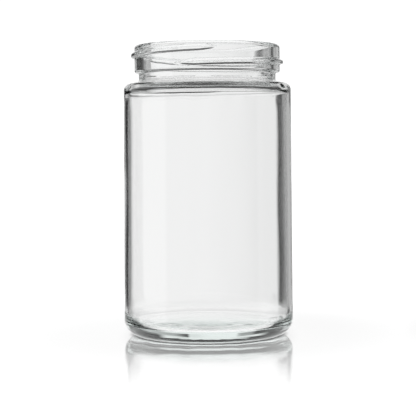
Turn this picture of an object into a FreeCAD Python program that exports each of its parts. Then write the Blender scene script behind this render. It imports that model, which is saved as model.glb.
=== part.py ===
"""Clear glass jar with a screw-thread neck: one moulded piece of glass, in millimetres.

+Z is up and the origin is the centre of the ring that the jar stands on. The front is -Y.
"""
import FreeCAD, Part
import Sketcher
import math
import os

SIZES = (
    # outside of the body
    ("jar_height", 107.8),
    ("base_radius", 31.58),
    ("body_top_radius", 31.06),
    ("shoulder_edge_height", 93.15),
    ("heel_round", 6.0),
    ("shoulder_round", 2.4),
    # outside of the neck: a groove, a step and the wall that carries the thread
    ("groove_radius", 25.45),
    ("groove_bottom", 94.45),
    ("groove_top", 97.6),
    ("neck_radius", 27.0),
    ("groove_round", 1.0),
    ("step_round", 0.6),
    ("rim_outer_round", 1.15),
    # hollow inside
    ("mouth_radius", 23.9),
    ("throat_height", 94.4),
    ("cavity_top_radius", 29.6),
    ("cavity_bottom_radius", 30.05),
    ("inner_shoulder_height", 90.9),
    ("floor_edge_height", 4.4),
    ("floor_height", 6.6),
    ("rim_inner_round", 1.7),
    ("throat_round", 2.4),
    ("inner_shoulder_round", 2.7),
    ("floor_round", 4.2),
    # underside: a shallow dome inside the ring that the jar stands on
    ("pushup_radius", 23.6),
    ("pushup_height", 0.9),
    # screw thread: one rounded right-hand bead of a little over one turn
    ("thread_crest_radius", 28.25),
    ("thread_pitch", 5.08),
    ("thread_turns", 1.097),
    ("thread_start_height", 99.9),
    ("thread_start_angle", 245.0),
    ("thread_root_width", 2.6),
    ("thread_sink", 0.4),
    # both ends of the bead sink into the neck under a circle set off from the axis
    ("fade_offset", 8.0),
    ("fade_lip", 0.03),
    ("fade_clear_radius", 45.0),
    ("fade_depth", 4.4),
    ("low_fade_top", 102.4),
    ("high_fade_top", 107.5),
)

doc = FreeCAD.newDocument("SpecimenJar")


def make_sheet():
    """Put the driving dimensions in a spreadsheet, one named cell each."""
    sheet = doc.addObject("Spreadsheet::Sheet", "Sizes")
    for row, (name, value) in enumerate(SIZES, start=1):
        sheet.set(f"A{row}", name)
        sheet.set(f"B{row}", str(value))
        sheet.setAlias(f"B{row}", name)
    doc.recompute()
    return sheet


sheet = make_sheet()


def size(name):
    """The value of a cell; no name means zero."""
    return float(getattr(sheet, name)) if name else 0.0


def origin_plane(body, role):
    return next(item for item in body.Origin.OriginFeatures if item.Role == role)


def new_sketch(body, name, role="XZ_Plane"):
    sketch = body.newObject("Sketcher::SketchObject", name)
    sketch.AttachmentSupport = [(origin_plane(body, role), "")]
    sketch.MapMode = "FlatFace"
    return sketch


def dimension(sketch, kind, references, name, expression, value):
    """Add a dimension and bind it to an expression on the sheet."""
    index = sketch.addConstraint(Sketcher.Constraint(kind, *references, value))
    sketch.renameConstraint(index, name)
    sketch.setExpression(f"Constraints.{name}", expression)


def hold_corner(sketch, edge, radius, height):
    """Hold the start of an edge at a named radius and height; no name means on the axis."""
    on_vertical_axis = Sketcher.Constraint("PointOnObject", edge, 1, -2)
    on_horizontal_axis = Sketcher.Constraint("PointOnObject", edge, 1, -1)
    point = (-1, 1, edge, 1)
    if radius:
        dimension(sketch, "DistanceX", point, f"radius{edge}", f"Sizes.{radius}", size(radius))
    else:
        sketch.addConstraint(on_vertical_axis)
    if height:
        dimension(sketch, "DistanceY", point, f"height{edge}", f"Sizes.{height}", size(height))
    else:
        sketch.addConstraint(on_horizontal_axis)


def crown_arc(rim, apex):
    """The arc from a rim point up to the axis, level at the axis."""
    rise = apex.y - rim.y
    radius = (rim.x ** 2 + rise ** 2) / (2 * rise)
    centre = FreeCAD.Vector(0, apex.y - radius, 0)
    circle = Part.Circle(centre, FreeCAD.Vector(0, 0, 1), radius)
    return Part.ArcOfCircle(circle, math.atan2(radius - rise, rim.x), math.pi / 2)


def draw_outline(sketch, corners, crown_edge=None):
    """Join (radius, height) corners into a closed outline; one edge may be a crown arc."""
    points = [FreeCAD.Vector(size(radius), size(height), 0) for radius, height in corners]
    count = len(points)
    for edge, start in enumerate(points):
        end = points[(edge + 1) % count]
        shape = crown_arc(start, end) if edge == crown_edge else Part.LineSegment(start, end)
        sketch.addGeometry(shape, False)
    for edge in range(count):
        sketch.addConstraint(Sketcher.Constraint("Coincident", edge, 2, (edge + 1) % count, 1))
    for edge, (radius, height) in enumerate(corners):
        hold_corner(sketch, edge, radius, height)
    if crown_edge is not None:
        sketch.addConstraint(Sketcher.Constraint("PointOnObject", crown_edge, 3, -2))


def turn(body, kind, name, sketch):
    """Revolve a sketch a full turn about the jar's axis, adding or cutting."""
    feature = body.newObject(kind, name)
    feature.Profile = sketch
    feature.ReferenceAxis = (sketch, ["V_Axis"])
    feature.Angle = 360
    doc.recompute()
    return feature


def round_edges(body, name, radius, height, fillet_radius):
    """Round the circular edges at a radius and height."""
    base = body.Tip
    edges = []
    for number, edge in enumerate(base.Shape.Edges, start=1):
        if edge.Degenerated or not isinstance(edge.Curve, Part.Circle):
            continue
        same_radius = abs(edge.Curve.Radius - size(radius)) < 0.01
        same_height = abs(edge.Curve.Center.z - size(height)) < 0.01
        if same_radius and same_height:
            edges.append(f"Edge{number}")
    if not edges:
        raise RuntimeError(f"{name}: no edge to round")
    feature = body.newObject("PartDesign::Fillet", name)
    feature.Base = (base, edges)
    feature.Radius = size(fillet_radius)
    feature.setExpression("Radius", f"Sizes.{fillet_radius}")
    doc.recompute()


def must_shrink(body, before, name):
    """Stop if a cut took nothing away."""
    if body.Shape.Volume >= before - 1:
        raise RuntimeError(f"{name} cut nothing")


def make_outside(body):
    """The jar as a solid block of its outer shape."""
    sketch = new_sketch(body, "outer_outline")
    draw_outline(sketch, (
        (None, None), ("base_radius", None), ("body_top_radius", "shoulder_edge_height"),
        ("groove_radius", "groove_bottom"), ("groove_radius", "groove_top"),
        ("neck_radius", "groove_top"), ("neck_radius", "jar_height"), (None, "jar_height")))
    turn(body, "PartDesign::Revolution", "outer_block", sketch)


def make_hollow(body):
    """Cut the mouth and the cavity, with a floor that rises a little in the middle."""
    before = body.Shape.Volume
    sketch = new_sketch(body, "cavity_outline")
    draw_outline(sketch, (
        (None, "jar_height"), ("mouth_radius", "jar_height"), ("mouth_radius", "throat_height"),
        ("cavity_top_radius", "inner_shoulder_height"), ("cavity_bottom_radius", "floor_edge_height"),
        (None, "floor_height")), crown_edge=4)
    turn(body, "PartDesign::Groove", "cavity", sketch)
    must_shrink(body, before, "cavity")


def make_pushup(body):
    """Cut the shallow dome under the base."""
    before = body.Shape.Volume
    sketch = new_sketch(body, "pushup_outline")
    draw_outline(sketch, ((None, None), ("pushup_radius", None), (None, "pushup_height")), crown_edge=1)
    turn(body, "PartDesign::Groove", "pushup", sketch)
    must_shrink(body, before, "pushup")


def round_jar(body):
    """Moulded glass has no sharp corner."""
    for name, radius, height, fillet_radius in (
            ("heel", "base_radius", None, "heel_round"),
            ("shoulder", "body_top_radius", "shoulder_edge_height", "shoulder_round"),
            ("groove_root", "groove_radius", "groove_bottom", "groove_round"),
            ("groove_head", "groove_radius", "groove_top", "step_round"),
            ("neck_step", "neck_radius", "groove_top", "step_round"),
            ("rim_outside", "neck_radius", "jar_height", "rim_outer_round"),
            ("rim_inside", "mouth_radius", "jar_height", "rim_inner_round"),
            ("throat", "mouth_radius", "throat_height", "throat_round"),
            ("inner_shoulder", "cavity_top_radius", "inner_shoulder_height", "inner_shoulder_round"),
            ("floor_corner", "cavity_bottom_radius", "floor_edge_height", "floor_round")):
        round_edges(body, name, radius, height, fillet_radius)


def make_thread(body):
    """Sweep the bead's section up a helix; its root is sunk into the neck wall."""
    sketch = new_sketch(body, "thread_section")
    sketch.AttachmentOffset = FreeCAD.Placement(
        FreeCAD.Vector(0, 0, 0), FreeCAD.Rotation(FreeCAD.Vector(0, 1, 0), size("thread_start_angle")))
    sketch.setExpression("AttachmentOffset.Rotation.Angle", "Sizes.thread_start_angle")
    middle = size("thread_start_height")
    half = size("thread_root_width") / 2
    root = size("neck_radius")
    inner = root - size("thread_sink")
    crest = size("thread_crest_radius")
    low_root = FreeCAD.Vector(root, middle - half, 0)
    high_root = FreeCAD.Vector(root, middle + half, 0)
    low_inner = FreeCAD.Vector(inner, middle - half, 0)
    high_inner = FreeCAD.Vector(inner, middle + half, 0)
    sketch.addGeometry(Part.Arc(low_root, FreeCAD.Vector(crest, middle, 0), high_root), False)
    sketch.addGeometry(Part.LineSegment(high_root, high_inner), False)
    sketch.addGeometry(Part.LineSegment(high_inner, low_inner), False)
    sketch.addGeometry(Part.LineSegment(low_inner, low_root), False)
    for edge in range(4):
        following = (edge + 1) % 4
        sketch.addConstraint(Sketcher.Constraint("Coincident", edge, 2, following, 1))
    for edge, rule in ((1, "Horizontal"), (2, "Vertical"), (3, "Horizontal")):
        sketch.addConstraint(Sketcher.Constraint(rule, edge))
    sketch.addConstraint(Sketcher.Constraint("Vertical", 1, 1, 3, 2))
    dimension(sketch, "DistanceX", (-1, 1, 1, 1), "root", "Sizes.neck_radius", root)
    dimension(sketch, "DistanceX", (2, 1, 1, 1), "sink", "Sizes.thread_sink", size("thread_sink"))
    dimension(sketch, "DistanceY", (2, 2, 2, 1), "width", "Sizes.thread_root_width", 2 * half)
    dimension(sketch, "DistanceY", (-1, 1, 2, 2), "low_edge",
              "Sizes.thread_start_height - Sizes.thread_root_width / 2", middle - half)
    rise = crest - root
    dimension(sketch, "Radius", (0,), "bead",
              "((Sizes.thread_root_width / 2) ^ 2 + (Sizes.thread_crest_radius - Sizes.neck_radius) ^ 2)"
              " / (2 * (Sizes.thread_crest_radius - Sizes.neck_radius))",
              (half ** 2 + rise ** 2) / (2 * rise))
    doc.recompute()
    bead = body.newObject("PartDesign::AdditiveHelix", "thread_bead")
    bead.Profile = sketch
    bead.ReferenceAxis = (sketch, ["V_Axis"])
    bead.Mode = "pitch-turns-angle"
    bead.setExpression("Pitch", "Sizes.thread_pitch")
    bead.setExpression("Turns", "Sizes.thread_turns")
    doc.recompute()


def fade_thread_end(body, name, direction, top):
    """Trim the bead with a circle off the axis, so that it sinks into the neck in one direction."""
    before = body.Shape.Volume
    angle = math.radians(direction)
    offset = size("fade_offset")
    sketch = new_sketch(body, f"{name}_outline", "XY_Plane")
    sketch.AttachmentOffset = FreeCAD.Placement(FreeCAD.Vector(0, 0, size(top)), FreeCAD.Rotation())
    sketch.setExpression("AttachmentOffset.Base.z", f"Sizes.{top}")
    normal = FreeCAD.Vector(0, 0, 1)
    centre = FreeCAD.Vector(-offset * math.cos(angle), -offset * math.sin(angle), 0)
    trim_radius = size("neck_radius") + offset + size("fade_lip")
    sketch.addGeometry(Part.Circle(centre, normal, trim_radius), False)
    sketch.addGeometry(Part.Circle(FreeCAD.Vector(0, 0, 0), normal, size("fade_clear_radius")), False)
    sketch.addConstraint(Sketcher.Constraint("Coincident", 1, 3, -1, 1))
    dimension(sketch, "Radius", (0,), "trim",
              "Sizes.neck_radius + Sizes.fade_offset + Sizes.fade_lip", trim_radius)
    dimension(sketch, "Radius", (1,), "clear", "Sizes.fade_clear_radius", size("fade_clear_radius"))
    dimension(sketch, "DistanceX", (-1, 1, 0, 3), "across",
              f"-Sizes.fade_offset * cos({direction} deg)", centre.x)
    dimension(sketch, "DistanceY", (-1, 1, 0, 3), "along",
              f"-Sizes.fade_offset * sin({direction} deg)", centre.y)
    doc.recompute()
    cut = body.newObject("PartDesign::Pocket", name)
    cut.Profile = sketch
    cut.Type = "Length"
    cut.setExpression("Length", "Sizes.fade_depth")
    doc.recompute()
    must_shrink(body, before, name)


def make_jar():
    body = doc.addObject("PartDesign::Body", "GlassJar")
    body.Label = "glass_jar"
    make_outside(body)
    make_hollow(body)
    make_pushup(body)
    round_jar(body)
    make_thread(body)
    start = size("thread_start_angle")
    fade_thread_end(body, "thread_low_end", start, "low_fade_top")
    fade_thread_end(body, "thread_high_end", start + 360 * size("thread_turns"), "high_fade_top")
    return body


def check_document():
    """Stop if any object failed to build."""
    for item in doc.Objects:
        if "Invalid" in item.State or "Error" in item.State:
            raise RuntimeError(f"{item.Name} failed: {item.State}")
        if item.TypeId == "Sketcher::SketchObject" and not item.FullyConstrained:
            raise RuntimeError(f"{item.Name} is not fully constrained")


def export(body):
    shape = body.Shape
    if shape.isNull() or not shape.isValid() or len(shape.Solids) != 1:
        raise RuntimeError(f"{body.Label} is not one valid solid")
    box = shape.optimalBoundingBox()
    print(f"{body.Label}: {shape.Volume / 1000:.1f} cm3 of glass,"
          f" {box.XLength:.2f} x {box.YLength:.2f} x {box.ZLength:.2f} mm")
    shape.exportStep(f"parts/{body.Label}.step")


jar = make_jar()
doc.recompute()
check_document()
os.makedirs("parts", exist_ok=True)
export(jar)
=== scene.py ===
import math

import bpy
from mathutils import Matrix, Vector


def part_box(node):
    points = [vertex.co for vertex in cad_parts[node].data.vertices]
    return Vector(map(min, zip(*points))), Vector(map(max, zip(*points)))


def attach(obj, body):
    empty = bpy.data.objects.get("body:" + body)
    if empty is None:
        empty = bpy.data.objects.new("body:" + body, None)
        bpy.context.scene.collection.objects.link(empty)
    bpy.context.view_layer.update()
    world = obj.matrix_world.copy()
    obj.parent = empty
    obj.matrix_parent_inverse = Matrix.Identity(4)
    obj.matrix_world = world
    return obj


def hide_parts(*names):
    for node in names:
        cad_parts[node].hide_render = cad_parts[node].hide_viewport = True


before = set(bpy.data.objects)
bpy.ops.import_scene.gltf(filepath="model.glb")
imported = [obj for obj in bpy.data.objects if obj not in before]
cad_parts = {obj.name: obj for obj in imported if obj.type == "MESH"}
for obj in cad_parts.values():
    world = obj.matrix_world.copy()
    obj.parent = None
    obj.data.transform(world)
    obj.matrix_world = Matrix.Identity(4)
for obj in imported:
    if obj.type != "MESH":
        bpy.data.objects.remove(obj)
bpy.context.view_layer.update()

scene = bpy.context.scene
mm = 0.001
jarLow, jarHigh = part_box("glass_jar")


camera = {
    "distance": 0.4905,      # m from the jar's axis
    "height": 0.0702,        # m above the floor
    "pitch": 2.681,          # degrees down
    "roll": -0.391,
    "lens": 113.45,          # mm, on a 36 mm sensor
}


def makeCamera():
    data = bpy.data.cameras.new("camera")
    data.lens = camera["lens"]
    data.sensor_width = 36
    data.clip_start = 0.01
    data.clip_end = 50
    eye = bpy.data.objects.new("camera", data)
    scene.collection.objects.link(eye)
    eye.location = (0, -camera["distance"], camera["height"])
    eye.rotation_euler = (math.radians(90 - camera["pitch"]), 0, 0)
    eye.rotation_euler.rotate_axis("Z", math.radians(camera["roll"]))
    scene.camera = eye
    print("camera placed")


# The jar is half a section drawn as a line, its corners rounded, then spun round the axis.
jar = {                      # mm
    "mouth": 23.9,
    "base": 31.58, "heelRound": 6.0,
    "topRadius": 31.06, "shoulderEdge": 93.15, "shoulderRound": 2.4,
    "grooveRadius": 25.45, "grooveBottom": 94.45, "grooveTop": 97.6, "grooveRound": 1.0,
    "neckRadius": 27.0, "stepRound": 0.6, "rimOuterRound": 1.15,
    "rimInnerRound": 1.7, "throat": 94.4, "throatRound": 2.4,
    "cavityTop": 29.6, "innerShoulder": 90.9, "innerShoulderRound": 2.7,
    "cavityBottom": 30.05,
    "floorEdge": 4.4, "floorMiddle": 6.6, "floorRound": 4.2,
    "pushupRadius": 23.6, "pushupHeight": 0.9,
    "columns": 240,
    "ringGap": 2.2,          # between rings on plain walls
    "threadRingGap": 0.17,   # and where the thread is
    "found": 0.02,           # how near a point counts as the one looked for
    "joined": 0.002,         # and as the same one
}
bead = {                     # mm, and degrees round from +X
    "crest": 28.25, "pitch": 5.08, "halfWidth": 1.2, "lowFlank": 0.6, "highFlank": 1.0,
    "middle": 99.93, "start": 245.0, "turns": 1.097, "fade": 15.0,
    "faded": 0.4,            # share of its width that is left at the very ends
    "wallFrom": 26.6, "wallAbove": 97.8,     # only the neck's outer wall is pushed out
}


def deselectAll():
    for thing in bpy.context.selected_objects:
        thing.select_set(False)


# points of an arc from a rim in to the axis, level at the axis; the ends are left out
def crownPoints(fromRadius, fromHeight, toHeight, steps):
    rise = toHeight - fromHeight
    radius = (fromRadius ** 2 + rise ** 2) / (2 * rise)
    middle = toHeight - radius
    full = math.asin(fromRadius / radius)
    points = []
    for step in range(1, steps):
        angle = full * (1 - step / steps)
        points.append((radius * math.sin(angle), middle + radius * math.cos(angle), 0, 0))
    return points


# corners from the middle of the push-up, out, up, over the rim and down to the middle of the floor:
# radius, height, rounding and steps of the rounding
def jarOutline():
    top = jarHigh.z / mm
    j = jar
    underside = crownPoints(j["pushupRadius"], 0, j["pushupHeight"], 14)[::-1]
    floor = crownPoints(j["cavityBottom"], j["floorEdge"], j["floorMiddle"], 16)
    return (
        [(0, j["pushupHeight"], 0, 0)] + underside + [
            (j["pushupRadius"], 0, 0, 0),
            (j["base"], 0, j["heelRound"], 20),
            (j["topRadius"], j["shoulderEdge"], j["shoulderRound"], 12),
            (j["grooveRadius"], j["grooveBottom"], j["grooveRound"], 6),
            (j["grooveRadius"], j["grooveTop"], j["stepRound"], 4),
            (j["neckRadius"], j["grooveTop"], j["stepRound"], 4),
            (j["neckRadius"], top, j["rimOuterRound"], 10),
            (j["mouth"], top, j["rimInnerRound"], 9),
            (j["mouth"], j["throat"], j["throatRound"], 8),
            (j["cavityTop"], j["innerShoulder"], j["innerShoulderRound"], 9),
            (j["cavityBottom"], j["floorEdge"], j["floorRound"], 16)]
        + floor + [(0, j["floorMiddle"], 0, 0)])


# a plane merged to one point, then extruded from corner to corner
def drawLine(points):
    bpy.ops.mesh.primitive_plane_add(size=mm, location=(0, 0, 0))
    line = bpy.context.object
    bpy.ops.object.mode_set(mode="EDIT")
    bpy.ops.mesh.select_all(action="SELECT")
    bpy.ops.mesh.merge(type="CENTER")
    place = Vector((0, 0, 0))
    for index, (radius, height, _, _) in enumerate(points):
        target = Vector((radius * mm, 0, height * mm))
        move = {"value": target - place}
        if index == 0:
            bpy.ops.transform.translate(**move)
        else:
            bpy.ops.mesh.extrude_vertices_move(TRANSFORM_OT_translate=move)
        place = target
    bpy.ops.object.mode_set(mode="OBJECT")
    return line


def selectPoint(mesh, place):
    for vertex in mesh.vertices:
        vertex.select = (vertex.co - place).length < jar["found"] * mm


# bevel each corner; the length taken from both edges makes an arc of the wanted radius
def roundCorners(line, points):
    for index in range(1, len(points) - 1):
        radius, height, rounding, steps = points[index]
        if not rounding:
            continue
        here = Vector((radius, height))
        back = (Vector(points[index - 1][:2]) - here).normalized()
        ahead = (Vector(points[index + 1][:2]) - here).normalized()
        turn = math.pi - back.angle(ahead)
        taken = rounding * math.tan(turn / 2)
        for edge in line.data.edges:
            edge.select = False
        selectPoint(line.data, Vector((radius, 0, height)) * mm)
        bpy.ops.object.mode_set(mode="EDIT")
        bpy.ops.mesh.bevel(offset=taken * mm, segments=steps, affect="VERTICES", offset_type="OFFSET")
        bpy.ops.mesh.select_all(action="DESELECT")
        bpy.ops.object.mode_set(mode="OBJECT")


# cut the long straight edges so that the spun mesh has even rings
def divideWalls(line):
    long = []
    for edge in line.data.edges:
        a, b = (line.data.vertices[i].co.copy() for i in edge.vertices)
        if (a - b).length > jar["ringGap"] * mm:
            long.append((a, b))
    for a, b in long:
        onNeck = min(a.x, b.x) > bead["wallFrom"] * mm and min(a.z, b.z) > jar["grooveTop"] * mm
        gap = jar["threadRingGap"] if onNeck else jar["ringGap"]
        for vertex in line.data.vertices:
            vertex.select = min((vertex.co - a).length, (vertex.co - b).length) < jar["joined"] * mm
        for edge in line.data.edges:
            edge.select = all(line.data.vertices[i].select for i in edge.vertices)
        bpy.ops.object.mode_set(mode="EDIT")
        bpy.ops.mesh.subdivide(number_cuts=int((a - b).length / mm / gap))
        bpy.ops.mesh.select_all(action="DESELECT")
        bpy.ops.object.mode_set(mode="OBJECT")


def spinLine(line):
    bpy.ops.object.mode_set(mode="EDIT")
    bpy.ops.mesh.select_all(action="SELECT")
    bpy.ops.mesh.spin(steps=jar["columns"], angle=2 * math.pi, center=(0, 0, 0), axis=(0, 0, 1))
    bpy.ops.mesh.select_all(action="SELECT")
    bpy.ops.mesh.remove_doubles(threshold=jar["joined"] * mm)
    bpy.ops.mesh.normals_make_consistent(inside=False)
    bpy.ops.mesh.select_all(action="DESELECT")
    bpy.ops.object.mode_set(mode="OBJECT")


def ease(share):
    return share * share * (3 - 2 * share)


# push the neck wall out along a helix that fades in and out
def raiseThread(mesh):
    height = bead["crest"] - jar["neckRadius"]
    last = bead["start"] + 360 * bead["turns"]
    for vertex in mesh.vertices:
        x, y, z = vertex.co / mm
        radius = math.hypot(x, y)
        if radius < bead["wallFrom"] or z < bead["wallAbove"]:
            continue
        angle = math.degrees(math.atan2(y, x)) % 360
        rise = 0
        for turn in range(3):
            along = angle + 360 * turn
            fade = min((along - bead["start"]) / bead["fade"], (last - along) / bead["fade"], 1)
            if fade <= 0:
                continue
            middle = bead["middle"] + bead["pitch"] * (along - bead["start"]) / 360
            flank = bead["lowFlank"] if z < middle else bead["highFlank"]
            reach = bead["halfWidth"] * (bead["faded"] + (1 - bead["faded"]) * fade)
            side = min((reach - abs(z - middle)) / flank, 1)
            if side > 0:
                rise = max(rise, height * ease(fade) * ease(side))
        grow = (radius + rise) / radius
        vertex.co.x *= grow
        vertex.co.y *= grow


uneven = {                   # mm; blown glass is never the same thickness all round
    "sideways": 0.12,        # how far the hollow stands off the axis, to the left
    "wall": 0.025, "shoulder": 0.05, "neck": 0.035, "floor": 0.05,
    "wallWaves": 3, "shoulderWaves": 7, "neckWaves": 6, "floorWaves": 5,     # how many go round
    "blend": 4.0,            # the shift sets in over this much height below the shoulder
    "facing": 0.3,           # how far a face has to look inwards to count as the inner skin
}


# slow waves round the jar and along it, from -1 to 1
def wave(angle, z, turns):
    broad = math.sin(turns * angle + 0.6 + z / 31)
    middling = math.sin((2 * turns + 1) * angle - 1.1 - z / 13)
    fine = math.sin(4 * turns * angle + 2.3 + z / 7)
    return 0.5 * broad + 0.3 * middling + 0.2 * fine


# shift and ripple the inner skin, found by the way that its faces look
def unevenWall(mesh):
    bottom = jar["floorEdge"] + jar["floorRound"]
    wallTop = jar["innerShoulder"] - uneven["blend"]
    facing = uneven["facing"]
    skin = []
    for vertex in mesh.vertices:
        x, y, z = vertex.co / mm
        radius = math.hypot(x, y)
        if radius < 1 or z < jar["floorEdge"] - 1:
            continue
        normal = vertex.normal.copy()
        looksIn = -(normal.x * x + normal.y * y) / radius
        onFloor = normal.z > facing and z < bottom
        underShoulder = normal.z < -facing and wallTop < z < jar["grooveBottom"] + 2
        if looksIn > facing or onFloor or (underShoulder and radius < jar["cavityTop"]):
            skin.append((vertex, normal, math.atan2(y, x), radius, z))
    for vertex, normal, angle, radius, z in skin:
        inBody = min(max((jar["innerShoulder"] - z) / uneven["blend"], 0), 1)
        near = min(radius / jar["mouth"], 1)
        if z < bottom:
            ripple = uneven["floor"] * near * wave(angle, z, uneven["floorWaves"])
        elif z < wallTop:
            ripple = uneven["wall"] * wave(angle, z, uneven["wallWaves"])
        elif z < jar["throat"] + 1:
            ripple = uneven["shoulder"] * wave(angle, z, uneven["shoulderWaves"])
        else:
            ripple = uneven["neck"] * wave(angle, z, uneven["neckWaves"])
        vertex.co -= normal * ripple * mm
        vertex.co.x -= uneven["sideways"] * mm * ease(inBody) * near


def makeJar():
    points = jarOutline()
    deselectAll()
    line = drawLine(points)
    line.name = "glassJar"
    roundCorners(line, points)
    divideWalls(line)
    print("half section has", len(line.data.vertices), "points")
    spinLine(line)
    raiseThread(line.data)
    unevenWall(line.data)
    for face in line.data.polygons:
        face.use_smooth = True
    line.data.materials.append(clearGlass())
    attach(line, "root")
    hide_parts("glass_jar")
    print("jar has", len(line.data.polygons), "faces")
    return line


# a Math node; each value is a number or another node's output
def workOut(tree, kind, *values):
    node = tree.nodes.new("ShaderNodeMath")
    node.operation = kind
    for slot, value in zip(node.inputs, values):
        if isinstance(value, bpy.types.NodeSocket):
            tree.links.new(value, slot)
        else:
            slot.default_value = value
    return node.outputs[0]


# goes smoothly from toLow to toHigh while the value goes from fromLow to fromHigh
def easeOver(tree, value, fromLow, fromHigh, toLow, toHigh):
    node = tree.nodes.new("ShaderNodeMapRange")
    node.interpolation_type = "SMOOTHSTEP"
    node.inputs["From Min"].default_value = fromLow
    node.inputs["From Max"].default_value = fromHigh
    node.inputs["To Min"].default_value = toLow
    node.inputs["To Max"].default_value = toHigh
    tree.links.new(value, node.inputs["Value"])
    return node.outputs["Result"]


def noiseOver(tree, place, scale, detail):
    node = tree.nodes.new("ShaderNodeTexNoise")
    node.inputs["Scale"].default_value = scale
    node.inputs["Detail"].default_value = detail
    tree.links.new(place, node.inputs["Vector"])
    return node.outputs["Fac"]


# a colour ramp over the angles from -reach to reach, with stops at (degrees, level) pairs
def rampOver(tree, angle, pairs, reach):
    scale = tree.nodes.new("ShaderNodeMapRange")
    scale.inputs["From Min"].default_value = -reach
    scale.inputs["From Max"].default_value = reach
    band = tree.nodes.new("ShaderNodeValToRGB")
    stops = band.color_ramp.elements
    while len(stops) < len(pairs):
        stops.new(1.0)
    for stop, (degrees, level) in zip(stops, pairs):
        stop.position = (math.radians(degrees) + reach) / (2 * reach)
        stop.color = (level, level, level, 1)
    tree.links.new(angle, scale.inputs["Value"])
    tree.links.new(scale.outputs[0], band.inputs["Fac"])
    return band.outputs["Color"]


# share, first and second are each another node's output, or a number or colour
def mixColours(tree, kind, share, first, second):
    node = tree.nodes.new("ShaderNodeMix")
    node.data_type = "RGBA"
    node.blend_type = kind
    for name, value in (("Factor", share), ("A", first), ("B", second)):
        if isinstance(value, bpy.types.NodeSocket):
            tree.links.new(value, node.inputs[name])
        else:
            node.inputs[name].default_value = value
    return node.outputs["Result"]


def mixShaders(tree, share, first, second):
    node = tree.nodes.new("ShaderNodeMixShader")
    tree.links.new(share, node.inputs["Fac"])
    tree.links.new(first, node.inputs[1])
    tree.links.new(second, node.inputs[2])
    return node.outputs[0]


glass = {
    "ior": 1.52,
    "tint": (0.77, 0.91, 0.865),
    "tintDensity": 9.0,      # per metre
    "swirlScale": 45.0, "swirlHeight": 0.00003,         # slow waves that the mould left, m
    "seamWidth": 0.00016, "seamHeight": 0.00003,        # where the mould's halves met, left and right
    "seamFrom": 0.0306,      # only on the outside of the body, m from the axis
    "stippleScale": 1100.0, "stippleHeight": 0.00008,   # the rough ring that the jar stands on
    "stippleTop": 0.00025,
    "hazeScale": 28.0, "hazeFrom": 0.5, "hazeTo": 0.7,
    "polished": 0.0, "handled": 0.006,                  # roughness
}


def clearGlass():
    material = bpy.data.materials.new("clearGlass")
    material.use_nodes = True
    tree = material.node_tree
    shader = tree.nodes["Principled BSDF"]
    shader.inputs["Base Color"].default_value = (1, 1, 1, 1)
    shader.inputs["IOR"].default_value = glass["ior"]
    shader.inputs["Transmission Weight"].default_value = 1.0
    place = tree.nodes.new("ShaderNodeTexCoord").outputs["Object"]
    split = tree.nodes.new("ShaderNodeSeparateXYZ")
    tree.links.new(place, split.inputs[0])

    swirl = noiseOver(tree, place, glass["swirlScale"], 2)
    swirlRise = workOut(tree, "MULTIPLY", swirl, glass["swirlHeight"])

    aside = workOut(tree, "ABSOLUTE", split.outputs["Y"])
    seamRise = easeOver(tree, aside, 0, glass["seamWidth"], glass["seamHeight"], 0)
    across = workOut(tree, "ABSOLUTE", split.outputs["X"])
    outside = workOut(tree, "GREATER_THAN", across, glass["seamFrom"])
    seam = workOut(tree, "MULTIPLY", seamRise, outside)

    stipple = noiseOver(tree, place, glass["stippleScale"], 1)
    foot = easeOver(tree, split.outputs["Z"], 0, glass["stippleTop"], glass["stippleHeight"], 0)
    ring = workOut(tree, "MULTIPLY", stipple, foot)

    relief = workOut(tree, "ADD", workOut(tree, "ADD", swirlRise, seam), ring)
    bump = tree.nodes.new("ShaderNodeBump")
    bump.inputs["Distance"].default_value = 1
    tree.links.new(relief, bump.inputs["Height"])
    tree.links.new(bump.outputs["Normal"], shader.inputs["Normal"])

    haze = noiseOver(tree, place, glass["hazeScale"], 3)
    dull = easeOver(tree, haze, glass["hazeFrom"], glass["hazeTo"], glass["polished"], glass["handled"])
    tree.links.new(dull, shader.inputs["Roughness"])

    thick = tree.nodes.new("ShaderNodeVolumeAbsorption")
    thick.inputs["Color"].default_value = (*glass["tint"], 1)
    thick.inputs["Density"].default_value = glass["tintDensity"]
    tree.links.new(thick.outputs["Volume"], tree.nodes["Material Output"].inputs["Volume"])
    return material


sheet = {                        # the glossy white sheet under the jar; lengths in m
    "size": 6.0,
    # to the eye: its brightness, and a soft mirror that fades outwards and at steep looks
    "glowSeen": 1.2,
    "mirror": 0.75, "mirrorFrom": 0.04, "mirrorTo": 0.15,
    "mirrorSteep": 0.70, "mirrorShallow": 0.80,
    "mirrorRoughness": 0.09,
    # painted shade: the dark line of painted shadow at the jar's foot, and the painted soft shadow
    # round it, narrower sideways
    "contactShade": 0.12, "contactShadeFrom": 0.0262, "contactShadeTo": 0.0305,
    "shadow": 0.86, "shadowFrom": 0.046, "shadowTo": 0.066, "shadowAcross": 1.9,
    # through the jar: white inside it and at steep looks, else a sharp mirror
    "glow": 1.02,
    "steep": 0.55, "shallow": 0.82,
    "standingFrom": 0.026, "standingTo": 0.036,
}


# distance from the middle of the sheet, with sideways counted so many times
def distanceOut(tree, place, across):
    stretch = tree.nodes.new("ShaderNodeVectorMath")
    stretch.operation = "MULTIPLY"
    stretch.inputs[1].default_value = (across, 1, 1)
    length = tree.nodes.new("ShaderNodeVectorMath")
    length.operation = "LENGTH"
    tree.links.new(place, stretch.inputs[0])
    tree.links.new(stretch.outputs["Vector"], length.inputs[0])
    return length.outputs["Value"]


# painted shade: a dark line at the jar's foot and a soft shadow round it darken both the sheet's white
# glow and its mirror
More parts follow.
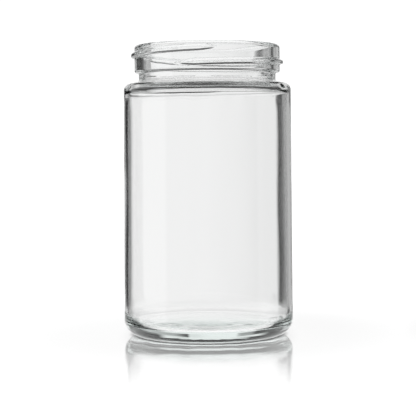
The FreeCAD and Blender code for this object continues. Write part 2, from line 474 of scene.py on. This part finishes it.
def sheetToTheEye(tree, reach, shadowReach, facing):
    contactShade = easeOver(tree, reach, sheet["contactShadeFrom"], sheet["contactShadeTo"], sheet["contactShade"], 1)
    shadow = easeOver(tree, shadowReach, sheet["shadowFrom"], sheet["shadowTo"], sheet["shadow"], 1)
    shade = workOut(tree, "MULTIPLY", contactShade, shadow)
    white = tree.nodes.new("ShaderNodeEmission")
    tree.links.new(workOut(tree, "MULTIPLY", shade, sheet["glowSeen"]), white.inputs["Strength"])
    soft = tree.nodes.new("ShaderNodeBsdfGlossy")
    soft.inputs["Roughness"].default_value = sheet["mirrorRoughness"]
    tree.links.new(shade, soft.inputs["Color"])
    near = easeOver(tree, reach, sheet["mirrorFrom"], sheet["mirrorTo"], sheet["mirror"], 0)
    slanting = easeOver(tree, facing, sheet["mirrorSteep"], sheet["mirrorShallow"], 0, 1)
    share = workOut(tree, "MULTIPLY", near, slanting)
    return mixShaders(tree, share, white.outputs[0], soft.outputs[0])


def sheetThroughGlass(tree, reach, facing):
    white = tree.nodes.new("ShaderNodeEmission")
    white.inputs["Strength"].default_value = sheet["glow"]
    sharp = tree.nodes.new("ShaderNodeBsdfGlossy")
    sharp.inputs["Color"].default_value = (1, 1, 1, 1)
    sharp.inputs["Roughness"].default_value = 0
    slanting = easeOver(tree, facing, sheet["steep"], sheet["shallow"], 0, 1)
    outside = easeOver(tree, reach, sheet["standingFrom"], sheet["standingTo"], 0, 1)
    share = workOut(tree, "MULTIPLY", slanting, outside)
    return mixShaders(tree, share, white.outputs[0], sharp.outputs[0])


def sheetFinish():
    material = bpy.data.materials.new("studioFloor")
    material.use_nodes = True
    tree = material.node_tree
    tree.nodes.remove(tree.nodes["Principled BSDF"])
    place = tree.nodes.new("ShaderNodeTexCoord").outputs["Object"]
    facing = tree.nodes.new("ShaderNodeLayerWeight").outputs["Facing"]
    byEye = tree.nodes.new("ShaderNodeLightPath").outputs["Is Camera Ray"]
    reach = distanceOut(tree, place, 1)
    shadowReach = distanceOut(tree, place, sheet["shadowAcross"])
    seen = sheetToTheEye(tree, reach, shadowReach, facing)
    through = sheetThroughGlass(tree, reach, facing)
    both = mixShaders(tree, byEye, through, seen)
    tree.links.new(both, tree.nodes["Material Output"].inputs["Surface"])
    return material


def makeFloor():
    deselectAll()
    bpy.ops.mesh.primitive_plane_add(size=sheet["size"], location=(0, 0, jarLow.z))
    floor = bpy.context.object
    floor.name = "studioFloor"
    floor.data.transform(floor.matrix_world)
    floor.matrix_world.identity()
    floor.data.materials.append(sheetFinish())
    print("floor laid")


studio = {                       # all angles in degrees, to the right of the backdrop's middle, and up
    "white": 1.1,                # what the eye sees behind the jar
    # brightness of the cards that stand round the jar: (angle, level)
    "round": (
        (-180, 0.03), (-124, 0.03), (-119, 0.85), (-58, 0.85), (-50, 0.03), (-24, 0.03), (-21, 0.33),
        (-14.5, 0.36), (-12.8, 0.93), (0, 0.92), (2.5, 0.88), (5, 0.8), (8.8, 0.8), (9.6, 0.05),
        (11, 0.1), (16, 0.42), (34, 0.5), (44, 0.05), (62, 0.05), (70, 0.7), (106, 0.7),
        (112, 0.05), (180, 0.03)),
    "cardsEnd": 6.5, "cardsBlend": 2.0,      # how high they reach, and how softly the wider ones follow
    "roundHigh": (
        (-180, 0.03), (-124, 0.03), (-118, 0.9), (-76, 0.9), (-70, 0.03), (-36, 0.03), (-26, 0.9),
        (22, 0.9), (28, 0.03), (70, 0.03), (76, 0.9), (106, 0.9), (112, 0.03), (180, 0.03)),
    "up": ((-90, 1), (16, 1), (26, 0.03), (90, 0.03)),      # share of both that is left, higher up
    # an even light for what shows through the jar from its other sides
    "behind": 0.9, "behindEnds": 30.0,
    "sideways": 68.0, "lowDown": 14.0,       # it starts nearer the middle low down
    "mirrorWhite": 20.0,         # each side of the middle, white in the sheet's mirror
}


# the cards, with darkness overhead
def cardLight(tree, turn, rise):
    low = rampOver(tree, turn, studio["round"], math.pi)
    high = rampOver(tree, turn, studio["roundHigh"], math.pi)
    up = rampOver(tree, rise, studio["up"], math.pi / 2)
    cardsEnd = math.radians(studio["cardsEnd"])
    blendEnd = cardsEnd + math.radians(studio["cardsBlend"])
    cards = mixColours(tree, "MIX", easeOver(tree, rise, cardsEnd, blendEnd, 0, 1), low, high)
    return mixColours(tree, "MULTIPLY", 1, cards, up)


# 1 for light on its way to the jar's other sides, if nothing has mirrored it, or if it has been
# through the glass and the last thing that it met mirrored it
def toOtherSides(tree, path, aside, rise, sideways, lowDown):
    overHalf = workOut(tree, "GREATER_THAN", aside, math.pi / 2)
    notHigh = workOut(tree, "LESS_THAN", rise, math.radians(studio["behindEnds"]))
    back = workOut(tree, "MULTIPLY", overHalf, notHigh)
    side = workOut(tree, "MULTIPLY", sideways, lowDown)
    unmirrored = workOut(tree, "LESS_THAN", path.outputs["Glossy Depth"], 0.5)
    throughGlass = workOut(tree, "GREATER_THAN", path.outputs["Transmission Depth"], 0.5)
    offSheet = workOut(tree, "MULTIPLY", path.outputs["Is Glossy Ray"], throughGlass)
    either = workOut(tree, "MAXIMUM", unmirrored, offSheet)
    return workOut(tree, "MULTIPLY", workOut(tree, "MAXIMUM", back, side), either)


# 1 for what the eye sees itself, and for low light, in the middle and at the sides, that the first
# thing the eye sees mirrors
def plainToTheEye(tree, path, aside, sideways, lowDown):
    middle = workOut(tree, "LESS_THAN", aside, math.radians(studio["mirrorWhite"]))
    middleOrSide = workOut(tree, "MAXIMUM", middle, sideways)
    low = workOut(tree, "MULTIPLY", middleOrSide, lowDown)
    mirrored = workOut(tree, "MULTIPLY", path.outputs["Is Glossy Ray"], low)
    first = workOut(tree, "LESS_THAN", path.outputs["Ray Depth"], 1.5)
    firstMirrored = workOut(tree, "MULTIPLY", mirrored, first)
    return workOut(tree, "MAXIMUM", path.outputs["Is Camera Ray"], firstMirrored)


# Cards of light and dark stand round the jar, with a dark ceiling; the eye itself sees plain white.
def makeWorld():
    world = bpy.data.worlds.new("studio")
    scene.world = world
    world.use_nodes = True
    tree = world.node_tree
    direction = tree.nodes.new("ShaderNodeTexCoord")
    split = tree.nodes.new("ShaderNodeSeparateXYZ")
    path = tree.nodes.new("ShaderNodeLightPath")
    tree.links.new(direction.outputs["Generated"], split.inputs[0])
    turn = workOut(tree, "ARCTAN2", split.outputs["X"], split.outputs["Y"])
    rise = workOut(tree, "ARCSINE", split.outputs["Z"])
    aside = workOut(tree, "ABSOLUTE", turn)
    sideways = workOut(tree, "GREATER_THAN", aside, math.radians(studio["sideways"]))
    lowDown = workOut(tree, "LESS_THAN", rise, math.radians(studio["lowDown"]))

    even = (*[studio["behind"]] * 3, 1)
    white = (*[studio["white"]] * 3, 1)
    behind = toOtherSides(tree, path, aside, rise, sideways, lowDown)
    allRound = mixColours(tree, "MIX", behind, cardLight(tree, turn, rise), even)
    plain = plainToTheEye(tree, path, aside, sideways, lowDown)
    seen = mixColours(tree, "MIX", plain, allRound, white)
    tree.links.new(seen, tree.nodes["Background"].inputs["Color"])
    print("light set")


makeCamera()
makeFloor()
makeWorld()
makeJar()
scene.view_settings.view_transform = "Standard"
scene.cycles.glossy_bounces = 12    # light turns back many times inside thick glass
